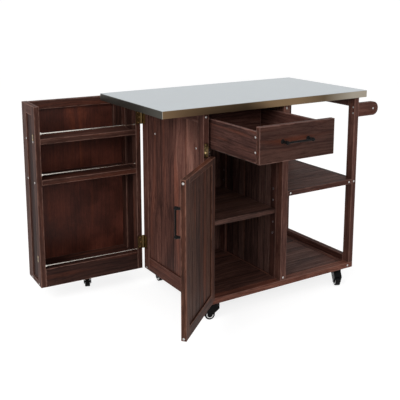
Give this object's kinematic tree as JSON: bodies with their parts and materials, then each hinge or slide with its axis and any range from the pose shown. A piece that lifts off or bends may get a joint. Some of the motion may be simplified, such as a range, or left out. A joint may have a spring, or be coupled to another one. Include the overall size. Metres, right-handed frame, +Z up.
{
  "type": "kitchen cart",
  "caption": "Rolling kitchen cart with a stainless worktop, drawer, door, open shelf bay, towel rail and a shelf cabinet that swings out on its own caster.",
  "frame": {"origin": "on the floor below the middle of the whole cart's bounding box, as it stands open", "axes": "+X to the right seen from the front, +Y to the back, +Z up"},
  "size_m": [1.3828, 1.0218, 0.874],
  "materials": {
    "stainless": "brushed, folded at the edges",
    "core_board": "plain board, hidden",
    "cart_wood": "dark stained timber with a satin finish",
    "drawer_wood": "dark stained timber with a satin finish",
    "door_wood": "dark stained timber with a satin finish",
    "swing_wood": "dark stained timber with a satin finish",
    "plywood": "red-brown stained plywood",
    "zinc": "zinc plated",
    "screw_steel": "nickel plated",
    "brass": "bright",
    "black_metal": "satin black",
    "chrome": "polished",
    "black_plastic": "black moulded",
    "wheel_rubber": "black"
  },
  "bodies": {
    "cart": {"worktop_skin": "stainless", "worktop_core": "core_board", "front_posts": "cart_wood", "rear_posts": "cart_wood", "base_rails": "cart_wood", "floor_boards": "cart_wood", "left_side_boards": "cart_wood", "pin_stiles": "cart_wood", "divider_boards": "cart_wood", "back_boards": "cart_wood", "top_rails": "cart_wood", "open_shelf_rails": "cart_wood", "open_shelf_boards": "cart_wood", "cabinet_shelf": "cart_wood", "shelf_pins": "zinc", "towel_arms": "cart_wood", "towel_bar": "cart_wood", "cart_runners": "zinc", "frame_screws": "screw_steel", "brass_screws": "brass", "latch_plates": "brass", "door_post_leaves": "brass", "swing_post_leaves": "brass", "caster_plates": "zinc"},
    "drawer": {"drawer_front": "drawer_wood", "drawer_sides": "drawer_wood", "drawer_ends": "drawer_wood", "drawer_bottom": "plywood", "drawer_pull": "black_metal", "drawer_runners": "zinc", "drawer_screws": "screw_steel"},
    "door": {"door_stiles": "door_wood", "door_rails": "door_wood", "door_boards": "door_wood", "door_pull": "black_metal", "door_leaves": "brass", "door_screws": "screw_steel", "door_hinge_screws": "brass"},
    "swing_cabinet": {"swing_stiles": "swing_wood", "swing_rails": "swing_wood", "swing_end_panels": "swing_wood", "swing_back_panel": "plywood", "swing_shelves": "swing_wood", "swing_front_boards": "swing_wood", "swing_rods": "chrome", "swing_leaves": "brass", "swing_keepers": "brass", "swing_screws": "screw_steel", "swing_brass_screws": "brass", "swing_caster_plate": "zinc"},
    "front_left_fork": {"front_left_fork": "black_plastic"},
    "front_left_wheel": {"front_left_wheel": "wheel_rubber"},
    "front_right_fork": {"front_right_fork": "black_plastic"},
    "front_right_wheel": {"front_right_wheel": "wheel_rubber"},
    "rear_left_fork": {"rear_left_fork": "black_plastic"},
    "rear_left_wheel": {"rear_left_wheel": "wheel_rubber"},
    "rear_right_fork": {"rear_right_fork": "black_plastic"},
    "rear_right_wheel": {"rear_right_wheel": "wheel_rubber"},
    "swing_fork": {"swing_fork": "black_plastic"},
    "swing_wheel": {"swing_wheel": "wheel_rubber"}
  },
  "joints": [
    {"name": "drawer_slide", "type": "slide", "parent": "cart", "child": "drawer", "axis": [0, 1, 0], "range_m": [-0.03, 0.305]},
    {"name": "door_hinge", "type": "hinge", "parent": "cart", "child": "door", "pos_m": [-0.19212, -0.17834, 0.391], "axis": [0, 0, 1], "range_deg": [-10, 139.5]},
    {"name": "swing_hinge", "type": "hinge", "parent": "cart", "child": "swing_cabinet", "pos_m": [-0.22262, 0.31466, 0.4575], "axis": [0, 0, 1], "range_deg": [-77, 93]},
    {"name": "front_left_swivel", "type": "hinge", "parent": "cart", "child": "front_left_fork", "pos_m": [-0.14762, -0.14534, 0.0715], "axis": [0, 0, 1], "continuous": true},
    {"name": "front_left_spin", "type": "hinge", "parent": "front_left_fork", "child": "front_left_wheel", "pos_m": [-0.16702, -0.1405, 0.021], "axis": [0.2419, 0.9703, 0], "continuous": true},
    {"name": "front_right_swivel", "type": "hinge", "parent": "cart", "child": "front_right_fork", "pos_m": [0.50638, -0.14534, 0.0715], "axis": [0, 0, 1], "continuous": true},
    {"name": "front_right_spin", "type": "hinge", "parent": "front_right_fork", "child": "front_right_wheel", "pos_m": [0.4973, -0.16316, 0.021], "axis": [-0.891, 0.454, 0], "continuous": true},
    {"name": "rear_left_swivel", "type": "hinge", "parent": "cart", "child": "rear_left_fork", "pos_m": [-0.14762, 0.28466, 0.0715], "axis": [0, 0, 1], "continuous": true},
    {"name": "rear_left_spin", "type": "hinge", "parent": "rear_left_fork", "child": "rear_left_wheel", "pos_m": [-0.14587, 0.30458, 0.021], "axis": [0.9962, -0.0872, 0], "continuous": true},
    {"name": "rear_right_swivel", "type": "hinge", "parent": "cart", "child": "rear_right_fork", "pos_m": [0.50638, 0.28466, 0.0715], "axis": [0, 0, 1], "continuous": true},
    {"name": "rear_right_spin", "type": "hinge", "parent": "rear_right_fork", "child": "rear_right_wheel", "pos_m": [0.48759, 0.27782, 0.021], "axis": [-0.342, 0.9397, 0], "continuous": true},
    {"name": "swing_swivel", "type": "hinge", "parent": "swing_cabinet", "child": "swing_fork", "pos_m": [-0.44145, 0.43828, 0.0715], "axis": [0, 0, 1], "continuous": true},
    {"name": "swing_spin", "type": "hinge", "parent": "swing_fork", "child": "swing_wheel", "pos_m": [-0.44958, 0.42001, 0.021], "axis": [-0.9135, 0.4067, 0], "continuous": true}
  ]
}
